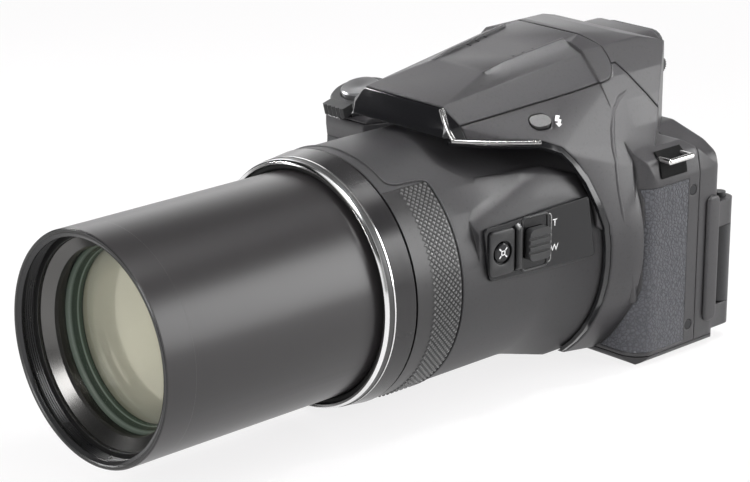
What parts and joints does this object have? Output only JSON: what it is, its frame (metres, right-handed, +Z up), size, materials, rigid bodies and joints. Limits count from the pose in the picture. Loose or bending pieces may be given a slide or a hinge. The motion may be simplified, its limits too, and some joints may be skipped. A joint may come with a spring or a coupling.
{
  "type": "bridge camera",
  "caption": "Bridge camera with an extended telescoping zoom lens, pop-up flash hump, electronic viewfinder, hand grip with dials and a swing-out monitor.",
  "frame": {"origin": "centre of the tripod socket's mouth, on the base plane, straight under the lens axis", "axes": "+Z up, the lens looks along -Y, +X towards the camera's own left side, hand grip at -X"},
  "size_m": [0.1397, 0.2284, 0.102],
  "materials": {
    "cover_plastic": "fine speckled satin",
    "housing_plastic": "fine speckled satin",
    "gloss_black": "gloss",
    "grip_rubber": "fine pebbled matt",
    "leatherette": "pebbled matt",
    "barrel_metal": "satin anodised",
    "rim_black": "matt",
    "bright_metal": "polished",
    "front_glass": "green coated",
    "clear_glass": "clear",
    "screen_glass": "gloss",
    "button_plastic": "satin",
    "steel": "plain",
    "inner_metal": "plain",
    "inner_plastic": "matt",
    "board_green": "satin",
    "lamp_lens": "ribbed"
  },
  "bodies": {
    "camera_body": {"front_cover": "cover_plastic", "rear_cover": "cover_plastic", "top_cover": "cover_plastic", "base_plate": "cover_plastic", "nose_plate": "gloss_black", "trim_strip": "gloss_black", "grip_rubber": "grip_rubber", "side_leather": "leatherette", "lens_housing": "housing_plastic", "knurled_band": "grip_rubber", "front_collar": "gloss_black", "bright_ring": "bright_metal", "barrel_seal": "grip_rubber", "control_panel": "gloss_black", "eyecup": "grip_rubber", "eyepiece_lens": "clear_glass", "finder_display": "inner_plastic", "strap_lugs": "bright_metal", "tripod_socket": "steel", "cover_screws": "steel", "chassis": "inner_metal", "main_board": "board_green", "sensor_unit": "inner_plastic", "battery": "inner_plastic", "flash_capacitor": "inner_plastic", "guide_rods": "steel", "zoom_motor": "inner_metal"},
    "barrel": {"lens_barrel": "barrel_metal", "filter_ring": "rim_black", "lens_retainer": "rim_black", "front_lens": "front_glass", "follower_pins": "steel"},
    "cam": {"cam_sleeve": "inner_metal"},
    "pinion": {"drive_pinion": "inner_plastic"},
    "variator": {"variator_cell": "inner_plastic", "variator_lens": "clear_glass"},
    "focus_group": {"focus_lens": "inner_plastic"},
    "flash": {"flash_head": "cover_plastic", "flash_lamp": "lamp_lens"},
    "monitor_swing": {"monitor_arm": "cover_plastic"},
    "monitor": {"monitor_panel": "cover_plastic", "monitor_glass": "screen_glass"},
    "flash_button": {"flash_button": "button_plastic"},
    "side_zoom_lever": {"side_zoom_lever": "button_plastic"},
    "snapback_button": {"snapback_button": "button_plastic"},
    "shutter_button": {"shutter_button": "button_plastic"},
    "zoom_lever": {"zoom_lever": "button_plastic"},
    "power_button": {"power_button": "button_plastic"},
    "mode_dial": {"mode_dial": "button_plastic"},
    "command_dial": {"command_dial": "button_plastic"},
    "fn_button": {"fn_button": "button_plastic"},
    "selector_ring": {"selector_ring": "button_plastic"},
    "ok_button": {"ok_button": "button_plastic"},
    "movie_button": {"movie_button": "button_plastic"},
    "playback_button": {"playback_button": "button_plastic"},
    "menu_button": {"menu_button": "button_plastic"},
    "delete_button": {"delete_button": "button_plastic"},
    "dioptre_dial": {"dioptre_dial": "button_plastic"},
    "battery_door": {"battery_door": "cover_plastic"},
    "connector_cover": {"connector_cover": "grip_rubber"}
  },
  "joints": [
    {"name": "zoom_slide", "type": "slide", "parent": "camera_body", "child": "barrel", "axis": [0, 1, 0], "range_m": [0, 0.074]},
    {"name": "cam_turn", "type": "hinge", "parent": "camera_body", "child": "cam", "pos_m": [0, 0, 0.0405], "axis": [0, -1, 0], "range_deg": [0, 90]},
    {"name": "pinion_turn", "type": "hinge", "parent": "camera_body", "child": "pinion", "pos_m": [-0.03458, 0, 0.02438], "axis": [0, -1, 0], "range_deg": [-594, 0]},
    {"name": "variator_slide", "type": "slide", "parent": "camera_body", "child": "variator", "axis": [0, 1, 0], "range_m": [0, 0.02]},
    {"name": "focus_slide", "type": "slide", "parent": "camera_body", "child": "focus_group", "axis": [0, 1, 0], "range_m": [-0.005, 0.005]},
    {"name": "flash_lift", "type": "hinge", "parent": "camera_body", "child": "flash", "pos_m": [0, -0.0142, 0.0966], "axis": [-1, 0, 0], "range_deg": [0, 45]},
    {"name": "flash_button_press", "type": "slide", "parent": "camera_body", "child": "flash_button", "axis": [-0.4572, 0.1831, -0.8703], "range_m": [0, 0.0007], "stiffness_N_per_m": 500},
    {"name": "side_lever_slide", "type": "slide", "parent": "camera_body", "child": "side_zoom_lever", "axis": [0, 0, 1], "range_m": [-0.0025, 0.0025], "stiffness_N_per_m": 300},
    {"name": "snapback_press", "type": "slide", "parent": "camera_body", "child": "snapback_button", "axis": [-0.9966, 0.0828, 0], "range_m": [0, 0.0007], "stiffness_N_per_m": 500},
    {"name": "shutter_press", "type": "slide", "parent": "camera_body", "child": "shutter_button", "axis": [0, 0.2478, -0.9688], "range_m": [0, 0.0008], "stiffness_N_per_m": 500},
    {"name": "zoom_lever_turn", "type": "hinge", "parent": "camera_body", "child": "zoom_lever", "pos_m": [-0.0685, -0.0268, 0.06649], "axis": [0, -0.2478, 0.9688], "range_deg": [-25, 25], "stiffness_Nm_per_rad": 0.03},
    {"name": "power_press", "type": "slide", "parent": "camera_body", "child": "power_button", "axis": [0, 0, -1], "range_m": [0, 0.0008], "stiffness_N_per_m": 500},
    {"name": "mode_dial_turn", "type": "hinge", "parent": "camera_body", "child": "mode_dial", "pos_m": [-0.053, 0.003, 0.069], "axis": [0, 0, 1], "continuous": true},
    {"name": "command_dial_turn", "type": "hinge", "parent": "camera_body", "child": "command_dial", "pos_m": [-0.0695, 0.012, 0.069], "axis": [0, 0, 1], "continuous": true},
    {"name": "fn_press", "type": "slide", "parent": "camera_body", "child": "fn_button", "axis": [0, 0, -1], "range_m": [0, 0.0008], "stiffness_N_per_m": 500},
    {"name": "monitor_swing_turn", "type": "hinge", "parent": "camera_body", "child": "monitor_swing", "pos_m": [0.0436, 0.0258, 0.0255], "axis": [0, 0, -1], "range_deg": [0, 175]},
    {"name": "monitor_tilt", "type": "hinge", "parent": "monitor_swing", "child": "monitor", "pos_m": [0.034, 0.0258, 0.0305], "axis": [1, 0, 0], "range_deg": [0, 52.5]},
    {"name": "selector_turn", "type": "hinge", "parent": "camera_body", "child": "selector_ring", "pos_m": [-0.062, 0.0222, 0.031], "axis": [0, 1, 0], "continuous": true},
    {"name": "ok_press", "type": "slide", "parent": "camera_body", "child": "ok_button", "axis": [0, -1, 0], "range_m": [0, 0.0008], "stiffness_N_per_m": 500},
    {"name": "movie_press", "type": "slide", "parent": "camera_body", "child": "movie_button", "axis": [0, -1, 0], "range_m": [0, 0.0008], "stiffness_N_per_m": 500},
    {"name": "playback_press", "type": "slide", "parent": "camera_body", "child": "playback_button", "axis": [0, -1, 0], "range_m": [0, 0.0008], "stiffness_N_per_m": 500},
    {"name": "menu_press", "type": "slide", "parent": "camera_body", "child": "menu_button", "axis": [0, -1, 0], "range_m": [0, 0.0008], "stiffness_N_per_m": 500},
    {"name": "delete_press", "type": "slide", "parent": "camera_body", "child": "delete_button", "axis": [0, -1, 0], "range_m": [0, 0.0008], "stiffness_N_per_m": 500},
    {"name": "dioptre_turn", "type": "hinge", "parent": "camera_body", "child": "dioptre_dial", "pos_m": [0.0163, 0.0252, 0.086], "axis": [1, 0, 0], "range_deg": [-120, 120]},
    {"name": "battery_door_open", "type": "hinge", "parent": "camera_body", "child": "battery_door", "pos_m": [-0.0568, -0.009, 0.0013], "axis": [0, -1, 0], "range_deg": [0, 95]},
    {"name": "connector_cover_open", "type": "hinge", "parent": "camera_body", "child": "connector_cover", "pos_m": [-0.08425, -0.0037, 0.034], "axis": [0, 0, 1], "range_deg": [0, 110]}
  ],
  "couplings": [
    {"joint": "cam_turn", "follows": "zoom_slide", "rad_per_m": 21.226},
    {"joint": "pinion_turn", "follows": "zoom_slide", "rad_per_m": -140.09},
    {"joint": "variator_slide", "follows": "zoom_slide", "ratio": 0.27},
    {"joint": "monitor_tilt", "follows": "monitor_swing_turn", "ratio": 0.3}
  ]
}
